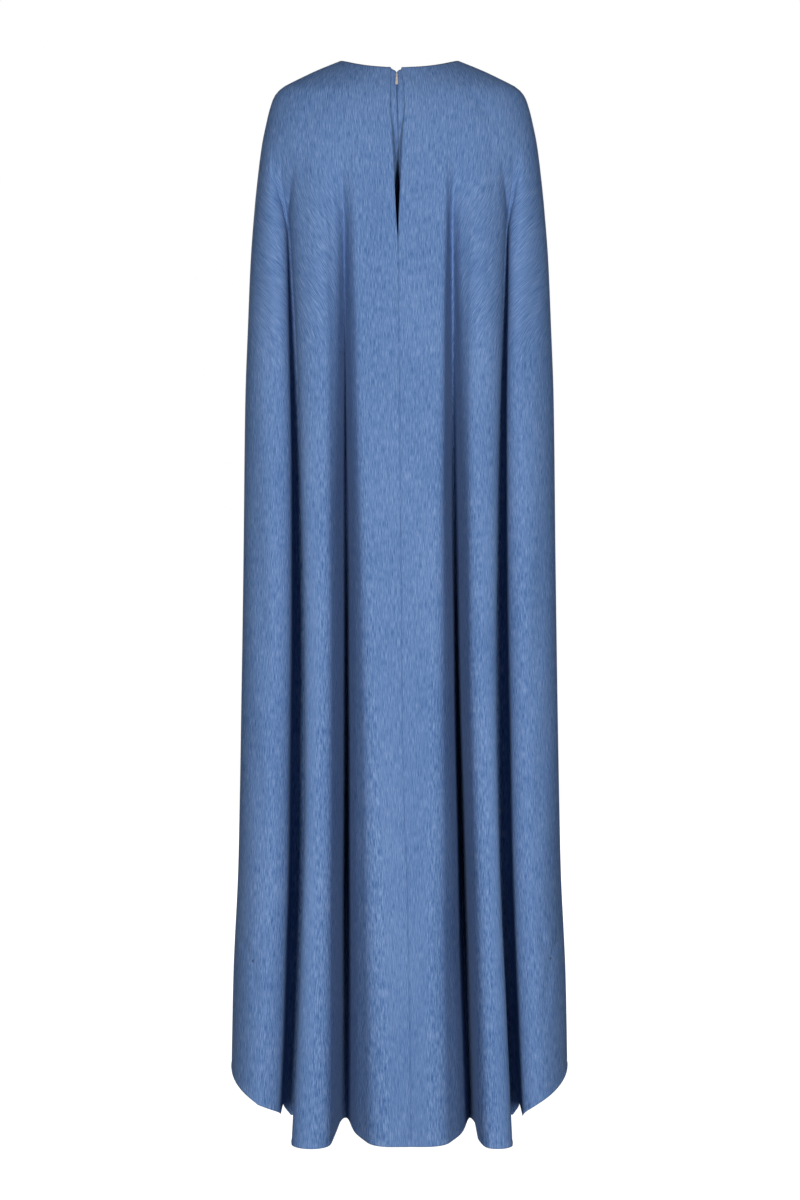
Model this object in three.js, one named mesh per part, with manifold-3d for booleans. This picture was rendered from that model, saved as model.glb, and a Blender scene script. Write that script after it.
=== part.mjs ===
// Floor-length kaftan gown in mid blue cloth, filled out as when worn and seen mainly from behind.
// Millimetres, +Z up. The back of the gown faces -Y, the front +Y, and +X is to the right from behind.
// The origin is the middle of the neck opening, level with the two points where the neckline meets
// the shoulder seams, where the wearer's shoulders hold the gown.

import * as THREE from 'three'
import { mergeVertices } from 'three/addons/utils/BufferGeometryUtils.js'
import Module from 'manifold-3d'

// Cloth, lengths and seams
const clothWall = 1.6
const seamGap = 0.3
const gownLength = 1600
const foldStart = 120
const foldBlendStart = 110
const foldsFull = 270
const foldMiddle = 0.44
const tightestBend = 2.5
const shoulderRoundness = 2.5
const wingRoundness = 1.75
const panelBow = 5

// Neckline: how far it dips below the neck points at the centre back and centre front
const backNeckDrop = 24
const frontNeckDrop = 72
const neckCurve = 2.5
const neckFade = 150

// Slit in the upper back and the open length of each side seam, as distances below the neck points
const slitEnd = 296
const handOpeningTop = 600
const handOpeningEnd = 1350
const handOpeningShare = 0.36

// Hem: the sides of the gown are lifted by the arms
const hemRiseStart = 1180
const hemRiseAtWing = 42
const hemRiseAtSeam = 83

// Outline: half width of the gown, and how far its back and front stand from the shoulder line
const outline = [
  { down: 0, halfWidth: 91, back: 48, front: 56 },
  { down: 15, halfWidth: 126, back: 61, front: 70 },
  { down: 31, halfWidth: 158, back: 73, front: 82 },
  { down: 42, halfWidth: 178, back: 80, front: 89 },
  { down: 54, halfWidth: 189, back: 87, front: 96 },
  { down: 73, halfWidth: 196, back: 95, front: 105 },
  { down: 96, halfWidth: 201.5, back: 102, front: 113 },
  { down: 126, halfWidth: 207.5, back: 108, front: 121 },
  { down: 175, halfWidth: 214, back: 113, front: 129 },
  { down: 226, halfWidth: 219.5, back: 116, front: 134 },
  { down: 296, halfWidth: 225, back: 118, front: 137 },
  { down: 400, halfWidth: 229.5, back: 121, front: 138 },
  { down: 511, halfWidth: 233.5, back: 125, front: 140 },
  { down: 769, halfWidth: 236.5, back: 134, front: 148 },
  { down: 1042, halfWidth: 240.5, back: 145, front: 157 },
  { down: 1230, halfWidth: 244.5, back: 152, front: 164 },
  { down: 1350, halfWidth: 249, back: 157, front: 168 },
  { down: 1433, halfWidth: 251.5, back: 160, front: 171 },
  { down: 1600, halfWidth: 254, back: 165, front: 175 }
]

// Centre-back line: the slit's two edges, then the seam, which leans to the right on its way down
const slitEdges = [
  { down: 0, left: -12.5, right: 2.7 },
  { down: 45, left: -13, right: 6.2 },
  { down: 85, left: -13.2, right: 7 },
  { down: 125, left: -10.8, right: 4.8 },
  { down: 190, left: -7.9, right: 1.8 },
  { down: 250, left: -5.2, right: -0.8 },
  { down: 296, left: -2.1, right: -2.1 }
]
const centreSeam = [
  { down: 296, across: -2.1 },
  { down: 670, across: 1.5 },
  { down: 1046, across: 5 },
  { down: 1211, across: 10.5 },
  { down: 1404, across: 14.5 },
  { down: 1600, across: 16.5 }
]

// Long folds of one half, from the centre outwards. A crest bulges out of the gown and a trough runs into
// it. Each list gives a value where the folds start, at foldMiddle of their length and at the hem: out is the
// distance from the gown's middle, in how far the cloth lies behind the panel's nearest face, and before and
// after are the radii of the bend on the near and the far side of its apex.
const leftBackFolds = [
  { crest: true, out: [66, 40, 12], in: [2, 1, 2], before: [10, 10, 10], after: [8, 20, 36] },
  { crest: false, out: [82.5, 80.5, 82], in: [6, 60, 104], before: [6, 6.5, 7], after: [6, 6.5, 7] },
  { crest: true, out: [110.7, 117, 126], in: [11, -2, -9], before: [12, 18, 28], after: [65, 23.6, 28.5] },
  { crest: false, out: [173.5, 151, 166], in: [42, 155, 185], before: [0, 10.5, 11.5], after: [0, 10.5, 11.5] },
  { crest: true, out: [188.3, 186.7, 209], in: [44, 62, 76], before: [17, 25, 31.5], after: [10, 10, 10] }
]
const rightBackFolds = [
  { crest: true, out: [66, 46, 40], in: [2, 1, 2], before: [10, 10, 10], after: [8, 20, 34] },
  { crest: false, out: [78, 84, 107], in: [6, 60, 104], before: [6, 6.5, 7], after: [6, 6.5, 7] },
  { crest: true, out: [107, 120, 141], in: [11, -2, -9], before: [12, 20, 26], after: [60.8, 22.1, 22.5] },
  { crest: false, out: [166, 152, 173], in: [42, 155, 185], before: [0, 10, 9.5], after: [0, 10, 9.5] },
  { crest: true, out: [177, 185.8, 202], in: [44, 62, 76], before: [13, 23.7, 19.5], after: [10, 10, 10] }
]
const frontFolds = [
  { crest: true, out: [46, 42, 38], in: [2, 1, 0], before: [10, 10, 10], after: [12, 17, 20] },
  { crest: false, out: [84, 86, 88], in: [7, 30, 56], before: [8, 11, 14], after: [8, 11, 14] },
  { crest: true, out: [114, 122, 128], in: [14, 4, -4], before: [13, 18, 22], after: [30, 18, 22] },
  { crest: false, out: [158, 150, 161], in: [44, 84, 110], before: [4, 9, 11], after: [4, 9, 11] },
  { crest: true, out: [186, 182, 198], in: [46, 62, 72], before: [13, 20, 24], after: [10, 10, 10] }
]

// Steps along a section: on the middle panel, round each half of a crest or a trough, and round the side
const middleSteps = 3
const crestSteps = 3
const troughSteps = 2
const sideSteps = 6

// Distances below the neck points at which sections are taken
const heights = [
  0, 5, 20, 31, 42, 54, 78, 112, 150, 190, 225, 260, 296, 338, 380, 430, 480,
  600, 725, 850, 975, 1100, 1225, 1350, 1440, 1525, 1600
]

// Inner bodice back, which shows through the slit: it leaves the outer back as it goes down, and its two
// halves are parted by the concealed zip, a little wider where the slider passes through
const innerHeights = [0, 5, 20, 31, 42, 54, 78, 112, 160, 225, 310]
const innerColumns = 6
const innerClearance = [
  { down: 0, apart: 0.6, halfWidth: 80 },
  { down: 40, apart: 0.8, halfWidth: 112 },
  { down: 85, apart: 3, halfWidth: 120 },
  { down: 125, apart: 12, halfWidth: 122 },
  { down: 190, apart: 34, halfWidth: 122 },
  { down: 310, apart: 62, halfWidth: 120 }
]
const zipLine = [
  { down: 0, across: -4.2, opening: 1.2 },
  { down: 20, across: -4, opening: 1.2 },
  { down: 60, across: -3.4, opening: 0.5 },
  { down: 150, across: -1.8, opening: 0.4 },
  { down: 310, across: -1.6, opening: 0.4 }
]
const vDepth = 6
const vHalfWidth = 9
const vFade = 40
const probeStep = 1

// Zip slider: a base on the cloth, a thin stem through the zip, a body behind it and a crown in front
const sliderDown = 12
const sliderReach = 5
const baseLength = 11
const baseWidth = 3.4
const baseThickness = 1.2
const stemWidth = 0.5
const stemLength = 7
const overlap = 0.2
const bodyLength = 9
const bodyWidth = 5
const bodyThickness = 2
const crownWidth = 1
const crownBar = 0.8
const crownTop = 3.4
const crownFoot = 3.5
const crownWindow = 1.9

// Pull tab: its cross bar lies under the crown, and the crown passes through its eye
const pullLength = 17.5
const pullTopWidth = 3.2
const pullEndWidth = 4.2
const pullThickness = 0.9
const pullBar = 0.9
const eyeWidth = 1.7
const eyeLength = 3.4
const hingeAboveFoot = 0.95

const cloth = new THREE.MeshStandardMaterial({ color: 0x587fb4, roughness: 0.85, metalness: 0 })
const innerCloth = new THREE.MeshStandardMaterial({ color: 0x4f75aa, roughness: 0.85, metalness: 0 })
const zipMetal = new THREE.MeshStandardMaterial({ color: 0xd8cfca, roughness: 0.3, metalness: 0.9 })

// Value of one column of a table at a distance below the neck points, on a smooth line through its rows
function along (table, key, down) {
  const last = table.length - 1
  if (down <= table[0].down) return table[0][key]
  if (down >= table[last].down) return table[last][key]
  const i = table.findIndex(row => row.down > down) - 1
  const slope = k => {
    const a = table[Math.max(k - 1, 0)]
    const b = table[Math.min(k + 1, last)]
    return (b[key] - a[key]) / (b.down - a.down)
  }
  const gap = table[i + 1].down - table[i].down
  const t = (down - table[i].down) / gap
  const startPart = table[i][key] * (2 * t ** 3 - 3 * t ** 2 + 1) + slope(i) * gap * (t ** 3 - 2 * t ** 2 + t)
  const endPart = table[i + 1][key] * (3 * t ** 2 - 2 * t ** 3) + slope(i + 1) * gap * (t ** 3 - t ** 2)
  return startPart + endPart
}

const smooth = (value, start, end) => THREE.MathUtils.smoothstep(value, start, end)

// A fold's value on the smooth curve through its top, middle and hem values
function foldValue ([top, middle, hem], down) {
  const t = Math.max((down - foldStart) / (gownLength - foldStart), 0)
  const topPart = top * (t - foldMiddle) * (t - 1) / foldMiddle
  const middlePart = middle * t * (1 - t) / (foldMiddle * (1 - foldMiddle))
  const hemPart = hem * t * (t - foldMiddle) / (1 - foldMiddle)
  return topPart + middlePart + hemPart
}

// The bends of one half at a height. No bend is wider than its room beside the next.
function foldStops (folds, down) {
  const stops = folds.map((fold, i) => ({
    out: foldValue(fold.out, down),
    into: foldValue(fold.in, down),
    before: Math.max(foldValue(fold.before, down), tightestBend),
    after: Math.max(foldValue(fold.after, down), tightestBend),
    turn: fold.crest ? 1 : -1,
    steps: fold.crest ? crestSteps : troughSteps,
    rise: i === folds.length - 1 ? hemRiseAtWing : 0
  }))
  for (let i = 1; i < stops.length; i++) {
    const near = stops[i - 1]
    const far = stops[i]
    const reach = far.out - near.out
    if (near.turn > 0) near.after = Math.min(near.after, reach - far.before)
    else far.before = Math.min(far.before, reach - near.after)
  }
  return stops
}

// Angle at which the slope between two bends leaves the first and meets the second
function slopeAngle (near, far) {
  const reach = far.out - near.out
  const radii = near.after + far.before
  const past = Math.abs(far.into - near.into) - radii
  return Math.atan2(past, reach) + Math.asin(Math.min(radii / Math.hypot(reach, past), 1))
}

// One half of a section where the folds hang, from the middle outwards: arcs round the folds' crests and
// troughs, joined by straight slopes that touch them, then a rounded side. u is across, v is into the gown.
function foldedHalf (folds, down, middleEdge, halfWidth, depth) {
  const stops = foldStops(folds, down)
  const last = stops.length - 1
  const bow = panelBow * (gownLength - down) / (gownLength - foldStart)
  const points = []
  for (let i = 0; i < middleSteps; i++) {
    const t = i / middleSteps
    const u = middleEdge + (stops[0].out - middleEdge) * t
    points.push({ u, v: stops[0].into - bow * (1 - smooth(t, 0, 1)), middle: t, rise: 0 })
  }
  stops.forEach((stop, i) => {
    const arriving = i > 0 ? slopeAngle(stops[i - 1], stop) : 0
    const leaving = i < last ? slopeAngle(stop, stops[i + 1]) : 0
    for (let k = i > 0 ? -stop.steps : 0; k <= (i < last ? stop.steps : 0); k++) {
      const t = Math.abs(k) / stop.steps
      const angle = k > 0 ? t * leaving : -t * arriving
      const radius = k > 0 ? stop.after : stop.before
      const beside = stops[THREE.MathUtils.clamp(i + Math.sign(k), 0, last)]
      const u = stop.out + radius * Math.sin(angle)
      const v = stop.into + stop.turn * radius * (1 - Math.cos(angle))
      points.push({ u, v, rise: THREE.MathUtils.lerp(stop.rise, beside.rise, t / 2) })
    }
  })
  const start = points[points.length - 1]
  for (let k = 1; k <= sideSteps; k++) {
    const angle = Math.PI / 2 * k / sideSteps
    const u = start.u + (halfWidth - start.u) * Math.sin(angle) ** (2 / wingRoundness)
    const v = start.v + (depth - start.v) * (1 - Math.abs(Math.cos(angle)) ** (2 / wingRoundness))
    const rise = start.rise + (hemRiseAtSeam - start.rise) * k / sideSteps
    points.push({ u, v: k === sideSteps ? depth : v, rise })
  }
  return points
}

// Depth of the smooth upper part of the gown at a share of its half width
const roundShoulder = (share, depth) =>
  depth * (1 - (1 - Math.min(Math.abs(share), 1) ** shoulderRoundness) ** (1 / shoulderRoundness))

// One half of the section at a height, as { u, v, down }: rounded near the shoulders, folded below them
function halfSection (half, down) {
  const halfWidth = along(outline, 'halfWidth', down)
  const depth = along(outline, half.face, down)
  const middleEdge = half.middleEdge(down)
  const folded = foldedHalf(half.folds, Math.max(down, foldStart), middleEdge, halfWidth, depth)
  const startWidth = along(outline, 'halfWidth', foldStart)
  const startDepth = along(outline, half.face, foldStart)
  const atStart = foldedHalf(half.folds, foldStart, half.middleEdge(foldStart), startWidth, startDepth)
  const edgeShare = atStart[middleSteps].u / startWidth
  const blend = smooth(down, foldBlendStart, foldsFull)
  const riseNow = smooth(down, hemRiseStart, gownLength)
  const neckNow = 1 - smooth(down, 0, neckFade)
  return folded.map((point, i) => {
    const share = point.middle === undefined
      ? atStart[i].u / startWidth
      : (middleEdge + (edgeShare * halfWidth - middleEdge) * point.middle) / halfWidth
    const neckDip = half.neckDrop * (1 - Math.min(Math.abs(share), 1) ** neckCurve) * neckNow
    const here = down + neckDip - point.rise * riseNow
    const upperDepth = along(outline, half.face, here)
    const u = THREE.MathUtils.lerp(share * halfWidth, point.u, blend)
    const inward = THREE.MathUtils.lerp(roundShoulder(share, upperDepth) - upperDepth, point.v - depth, blend)
    return { u, v: inward, down: here }
  })
}

// A closed wall of even thickness round a grid of points on its middle surface. Its first and last
// columns are cut square across the seam there, so that two panels meet along flat edges.
function wall (name, rows, material, squareFirst, squareLast) {
  const rowCount = rows.length
  const columnCount = rows[0].length
  const within = (value, count) => THREE.MathUtils.clamp(value, 0, count - 1)
  const at = (r, c) => rows[within(r, rowCount)][within(c, columnCount)]
  const positions = []
  for (const side of [1, -1]) {
    for (let r = 0; r < rowCount; r++) {
      for (let c = 0; c < columnCount; c++) {
        const acrossWay = at(r, c + 1).clone().sub(at(r, c - 1))
        const downWay = at(r + 1, c).clone().sub(at(r - 1, c))
        const normal = downWay.cross(acrossWay).normalize()
        if (c === 0) normal.multiply(squareFirst).normalize()
        if (c === columnCount - 1) normal.multiply(squareLast).normalize()
        const corner = at(r, c).clone().addScaledVector(normal, side * clothWall / 2)
        positions.push(corner.x, corner.y, corner.z)
      }
    }
  }
  const outer = (r, c) => r * columnCount + c
  const inner = (r, c) => rowCount * columnCount + r * columnCount + c
  const faces = []
  const quad = (a, b, c, d) => faces.push(a, b, c, a, c, d)
  for (let r = 0; r < rowCount - 1; r++) {
    for (let c = 0; c < columnCount - 1; c++) {
      quad(outer(r, c), outer(r + 1, c), outer(r + 1, c + 1), outer(r, c + 1))
      quad(inner(r, c), inner(r, c + 1), inner(r + 1, c + 1), inner(r + 1, c))
    }
    quad(outer(r, 0), inner(r, 0), inner(r + 1, 0), outer(r + 1, 0))
    const end = columnCount - 1
    quad(outer(r, end), outer(r + 1, end), inner(r + 1, end), inner(r, end))
  }
  for (let c = 0; c < columnCount - 1; c++) {
    const low = rowCount - 1
    quad(outer(0, c), outer(0, c + 1), inner(0, c + 1), inner(0, c))
    quad(outer(low, c), inner(low, c), inner(low, c + 1), outer(low, c + 1))
  }
  const geometry = new THREE.BufferGeometry()
  geometry.setAttribute('position', new THREE.Float32BufferAttribute(positions, 3))
  geometry.setIndex(faces)
  const mesh = new THREE.Mesh(geometry, material)
  mesh.name = name
  return mesh
}

const squareX = new THREE.Vector3(0, 1, 1)
const squareY = new THREE.Vector3(1, 0, 1)
const squareNone = new THREE.Vector3(1, 1, 1)

// Back halves
const centreBack = (down, edge) =>
  down < slitEnd ? along(slitEdges, edge, down) : along(centreSeam, 'across', down)
const leftBack = {
  face: 'back',
  folds: leftBackFolds,
  neckDrop: backNeckDrop,
  middleEdge: down => seamGap / 2 - centreBack(down, 'left')
}
const rightBack = {
  face: 'back',
  folds: rightBackFolds,
  neckDrop: backNeckDrop,
  middleEdge: down => seamGap / 2 + centreBack(down, 'right')
}

function backHalf (name, half, side) {
  const rows = heights.map(down => {
    const points = halfSection(half, down).map(p =>
      new THREE.Vector3(side * p.u, -seamGap / 2 + p.v, -p.down))
    return side < 0 ? points.reverse() : points
  })
  return side < 0 ? wall(name, rows, cloth, squareY, squareX) : wall(name, rows, cloth, squareX, squareY)
}

// Front, in one piece. Between the two ends of the hand opening its side edges draw back from the seam.
const frontSide = { face: 'front', folds: frontFolds, neckDrop: frontNeckDrop, middleEdge: () => 0 }

function drawnBack (points, share) {
  const first = points.length - 1 - sideSteps
  const side = points.slice(first)
  const steps = side.length - 1
  return points.map((point, i) => {
    if (i <= first) return point
    const place = (i - first) * (1 - share)
    const k = Math.min(Math.floor(place), steps - 1)
    const t = place - k
    const mix = key => THREE.MathUtils.lerp(side[k][key], side[k + 1][key], t)
    return { u: mix('u'), v: mix('v'), down: mix('down') }
  })
}

function front (name) {
  const rows = heights.map(down => {
    const openness = THREE.MathUtils.clamp((down - handOpeningTop) / (handOpeningEnd - handOpeningTop), 0, 1)
    const half = drawnBack(halfSection(frontSide, down), handOpeningShare * Math.sin(Math.PI * openness))
    const points = half.map(p => new THREE.Vector3(p.u, seamGap / 2 - p.v, -p.down))
    const mirrored = half.slice(1).map(p => new THREE.Vector3(-p.u, seamGap / 2 - p.v, -p.down))
    return [...points.reverse(), ...mirrored]
  })
  return wall(name, rows, cloth, squareY, squareY)
}

// Point on the outer back's smooth upper part, and the same point moved into the gown
function upperBack (across, down, apart) {
  const halfWidth = along(outline, 'halfWidth', down)
  const share = across / halfWidth
  const neckDip = backNeckDrop * (1 - Math.abs(share) ** neckCurve) * (1 - smooth(down, 0, neckFade))
  const here = down + neckDip
  const depth = along(outline, 'back', here)
  return new THREE.Vector3(across, roundShoulder(share, depth) - depth - seamGap / 2 + apart, -here)
}

// Point of the inner back's middle surface, with the shallow V that its top edge makes at the zip
function innerPoint (across, down) {
  const fromZip = Math.abs(across - along(zipLine, 'across', down))
  const there = down + vDepth * Math.max(0, 1 - fromZip / vHalfWidth) * (1 - smooth(down, 0, vFade))
  const acrossWay = upperBack(across + probeStep, there, 0).sub(upperBack(across - probeStep, there, 0))
  const above = upperBack(across, Math.max(there - probeStep, 0), 0)
  const downWay = upperBack(across, there + probeStep, 0).sub(above)
  const inwards = acrossWay.cross(downWay).normalize()
  const apart = clothWall + along(innerClearance, 'apart', there)
  return upperBack(across, there, 0).addScaledVector(inwards, apart)
}

function innerHalf (name, side) {
  const rows = innerHeights.map(down => {
    const halfWidth = along(innerClearance, 'halfWidth', down)
    const centre = along(zipLine, 'across', down) + side * along(zipLine, 'opening', down) / 2
    const points = []
    for (let i = 0; i <= innerColumns; i++) {
      points.push(innerPoint(centre + (side * halfWidth - centre) * i / innerColumns, down))
    }
    return side < 0 ? points.reverse() : points
  })
  return side < 0
    ? wall(name, rows, innerCloth, squareNone, squareX)
    : wall(name, rows, innerCloth, squareX, squareNone)
}

// Joining closed geometries
const wasm = await Module()
wasm.setup()

function toSolid (geometry) {
  const bare = geometry.clone()
  bare.deleteAttribute('normal')
  bare.deleteAttribute('uv')
  const merged = mergeVertices(bare)
  return new wasm.Manifold(new wasm.Mesh({
    numProp: 3,
    vertProperties: new Float32Array(merged.attributes.position.array),
    triVerts: new Uint32Array(merged.index.array)
  }))
}

function joined (geometries) {
  const whole = geometries.map(toSolid).reduce((sum, next) => sum.add(next))
  const mesh = whole.getMesh()
  const geometry = new THREE.BufferGeometry()
  geometry.setAttribute('position', new THREE.Float32BufferAttribute(mesh.vertProperties, 3))
  geometry.setIndex(Array.from(mesh.triVerts))
  return geometry
}

// A block between two heights out of the cloth, where out is -Y
function block (width, length, outFrom, outTo, middle = 0) {
  const geometry = new THREE.BoxGeometry(width, outTo - outFrom, length)
  return geometry.translate(0, -(outFrom + outTo) / 2, middle)
}

function sliderGeometry () {
  const out = clothWall / 2 + seamGap
  const base = new THREE.Shape()
  const end = baseWidth / 2
  const straight = baseLength / 2 - end
  base.absarc(0, straight, end, 0, Math.PI)
  base.absarc(0, -straight, end, Math.PI, 2 * Math.PI)
  const plate = new THREE.ExtrudeGeometry(base, {
    depth: baseThickness,
    bevelEnabled: false,
    curveSegments: 6
  })
  plate.rotateX(Math.PI / 2).translate(0, -out, 0)
  const face = out + baseThickness
  const crown = [
    block(crownWidth, 2 * crownFoot, face + crownWindow, face + crownWindow + crownBar),
    block(crownWidth, crownBar, face - overlap, face + crownWindow + overlap, crownFoot - crownBar / 2),
    block(crownWidth, crownBar, face - overlap, face + crownWindow + overlap, crownBar / 2 - crownFoot)
  ]
  const stem = block(stemWidth, stemLength, -out - overlap, out + overlap)
  const body = block(bodyWidth, bodyLength, -out - bodyThickness, -out)
  return joined([plate, ...crown, stem, body])
}

const hingeOut = clothWall / 2 + seamGap + baseThickness + crownWindow / 2
const hingeUp = crownBar - crownFoot + hingeAboveFoot

function pullGeometry () {
  const top = pullBar / 2
  const outline = new THREE.Shape()
  outline.moveTo(-pullTopWidth / 2, top)
  outline.lineTo(-pullEndWidth / 2, top - pullLength + pullEndWidth / 2)
  outline.absarc(0, top - pullLength + pullEndWidth / 2, pullEndWidth / 2, Math.PI, 2 * Math.PI)
  outline.lineTo(pullTopWidth / 2, top)
  outline.closePath()
  const eye = new THREE.Path()
  eye.moveTo(-eyeWidth / 2, -top)
  eye.lineTo(eyeWidth / 2, -top)
  eye.lineTo(eyeWidth / 2, -top - eyeLength)
  eye.lineTo(-eyeWidth / 2, -top - eyeLength)
  eye.closePath()
  outline.holes.push(eye)
  const tab = new THREE.ExtrudeGeometry(outline, {
    depth: pullThickness,
    bevelEnabled: false,
    curveSegments: 8
  })
  return tab.rotateX(Math.PI / 2).translate(0, pullThickness / 2, 0)
}

// The slider lies along the slope of the inner back, and the pull tab hangs from it
function zip () {
  const across = along(zipLine, 'across', sliderDown)
  const above = innerPoint(across, sliderDown - sliderReach)
  const below = innerPoint(across, sliderDown + sliderReach)
  const group = new THREE.Group()
  group.position.copy(above).add(below).multiplyScalar(0.5)
  group.rotation.x = Math.atan2(below.y - above.y, above.z - below.z)
  const slider = new THREE.Mesh(sliderGeometry(), zipMetal)
  slider.name = 'zip_slider'
  const pull = new THREE.Mesh(pullGeometry(), zipMetal)
  pull.name = 'zip_pull'
  pull.position.set(0, -hingeOut, hingeUp)
  group.add(slider, pull)
  return group
}

export const gown = new THREE.Group()
gown.add(backHalf('back_left', leftBack, -1))
gown.add(backHalf('back_right', rightBack, 1))
gown.add(front('front'))
gown.add(innerHalf('inner_back_left', -1))
gown.add(innerHalf('inner_back_right', 1))
gown.add(zip())

export default gown
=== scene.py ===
import math
import bpy
import bmesh
import numpy as np
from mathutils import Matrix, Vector


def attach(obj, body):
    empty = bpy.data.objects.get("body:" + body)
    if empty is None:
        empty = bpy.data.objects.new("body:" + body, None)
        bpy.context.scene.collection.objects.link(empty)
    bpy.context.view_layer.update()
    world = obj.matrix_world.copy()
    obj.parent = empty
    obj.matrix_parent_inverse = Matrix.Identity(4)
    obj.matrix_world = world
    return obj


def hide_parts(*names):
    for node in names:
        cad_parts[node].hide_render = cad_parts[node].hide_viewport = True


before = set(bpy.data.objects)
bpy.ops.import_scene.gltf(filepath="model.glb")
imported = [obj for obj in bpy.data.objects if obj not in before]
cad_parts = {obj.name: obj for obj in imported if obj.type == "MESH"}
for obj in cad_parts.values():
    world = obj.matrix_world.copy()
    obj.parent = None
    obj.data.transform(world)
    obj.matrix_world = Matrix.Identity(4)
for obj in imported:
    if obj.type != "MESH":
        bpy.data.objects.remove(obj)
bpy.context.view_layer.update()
print("frame loaded")

# Sizes in metres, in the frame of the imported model: the back of the gown faces -Y.
# down is the distance below the neck points.
gown = {
    "length": 1.6, "thickness": 0.0009, "seamGap": -0.0002,
    "foldStart": 0.12, "foldBlendStart": 0.11, "foldsFull": 0.27, "foldMiddle": 0.44, "tightestBend": 0.0025,
    "shoulderRoundness": 2.5, "wingRoundness": 1.75, "panelBow": 0.005,
    "backNeckDrop": 0.024, "frontNeckDrop": 0.072, "neckCurve": 2.5, "neckFade": 0.15,
    "hemRiseStart": 1.18, "hemRiseAtSeam": 0.083,
    "slitEnd": 0.296, "handTop": 0.6, "handEnd": 1.35, "handShare": 0.36,
}

outline = [
    {"down": 0, "halfWidth": 0.091, "back": 0.048, "front": 0.056},
    {"down": 0.015, "halfWidth": 0.126, "back": 0.061, "front": 0.07},
    {"down": 0.031, "halfWidth": 0.158, "back": 0.073, "front": 0.082},
    {"down": 0.042, "halfWidth": 0.178, "back": 0.08, "front": 0.089},
    {"down": 0.054, "halfWidth": 0.189, "back": 0.087, "front": 0.096},
    {"down": 0.073, "halfWidth": 0.196, "back": 0.095, "front": 0.105},
    {"down": 0.096, "halfWidth": 0.2015, "back": 0.102, "front": 0.113},
    {"down": 0.126, "halfWidth": 0.2075, "back": 0.108, "front": 0.121},
    {"down": 0.175, "halfWidth": 0.214, "back": 0.113, "front": 0.129},
    {"down": 0.226, "halfWidth": 0.2195, "back": 0.116, "front": 0.134},
    {"down": 0.296, "halfWidth": 0.225, "back": 0.118, "front": 0.137},
    {"down": 0.4, "halfWidth": 0.2295, "back": 0.121, "front": 0.138},
    {"down": 0.511, "halfWidth": 0.2335, "back": 0.125, "front": 0.14},
    {"down": 0.769, "halfWidth": 0.2365, "back": 0.134, "front": 0.148},
    {"down": 1.042, "halfWidth": 0.2405, "back": 0.145, "front": 0.157},
    {"down": 1.23, "halfWidth": 0.2445, "back": 0.152, "front": 0.164},
    {"down": 1.35, "halfWidth": 0.249, "back": 0.157, "front": 0.168},
    {"down": 1.433, "halfWidth": 0.2515, "back": 0.16, "front": 0.171},
    {"down": 1.6, "halfWidth": 0.254, "back": 0.165, "front": 0.175},
]

slitEdges = [
    {"down": 0, "left": -0.0125, "right": 0.0027},
    {"down": 0.045, "left": -0.013, "right": 0.0062},
    {"down": 0.085, "left": -0.0132, "right": 0.007},
    {"down": 0.125, "left": -0.0108, "right": 0.0048},
    {"down": 0.19, "left": -0.0079, "right": 0.0018},
    {"down": 0.25, "left": -0.0052, "right": -0.0008},
    {"down": 0.296, "left": -0.0021, "right": -0.0021},
]
centreSeam = [
    {"down": 0.296, "across": -0.0021},
    {"down": 0.67, "across": 0.0015},
    {"down": 1.046, "across": 0.005},
    {"down": 1.211, "across": 0.0105},
    {"down": 1.404, "across": 0.0145},
    {"down": 1.6, "across": 0.0165},
]


# A fold of one half. Each triple holds the values where folds start, halfway and at the hem: its distance
# from the middle, its depth behind the panel's face, and the radii of its bend before and after its apex.
def foldRow(crest, out, inward, before, after, rise=0):
    return {"crest": crest, "out": out, "in": inward, "before": before, "after": after, "rise": rise}


leftFolds = [
    foldRow(True, (0.066, 0.04, 0.012), (0.002, 0.001, 0.002),
            (0.01, 0.01, 0.01), (0.008, 0.02, 0.036)),
    foldRow(False, (0.0825, 0.0805, 0.082), (0.006, 0.06, 0.104),
            (0.006, 0.0065, 0.007), (0.006, 0.0065, 0.007)),
    foldRow(True, (0.1107, 0.117, 0.126), (0.011, -0.002, -0.009),
            (0.012, 0.018, 0.028), (0.065, 0.0236, 0.0285)),
    foldRow(False, (0.1735, 0.151, 0.166), (0.042, 0.155, 0.185),
            (0, 0.0105, 0.0115), (0, 0.0105, 0.0115)),
    foldRow(True, (0.1883, 0.1867, 0.209), (0.044, 0.062, 0.076),
            (0.017, 0.025, 0.0315), (0.01, 0.01, 0.01), 0.042),
]
rightFolds = [
    foldRow(True, (0.066, 0.046, 0.04), (0.002, 0.001, 0.002),
            (0.01, 0.01, 0.01), (0.008, 0.02, 0.034)),
    foldRow(False, (0.078, 0.084, 0.107), (0.006, 0.06, 0.104),
            (0.006, 0.0065, 0.007), (0.006, 0.0065, 0.007)),
    foldRow(True, (0.107, 0.12, 0.141), (0.011, -0.002, -0.009),
            (0.012, 0.02, 0.026), (0.0608, 0.0221, 0.0225)),
    foldRow(False, (0.166, 0.152, 0.173), (0.042, 0.155, 0.185),
            (0, 0.01, 0.0095), (0, 0.01, 0.0095)),
    foldRow(True, (0.177, 0.1858, 0.202), (0.044, 0.062, 0.076),
            (0.013, 0.0237, 0.0195), (0.01, 0.01, 0.01), 0.042),
]
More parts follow.
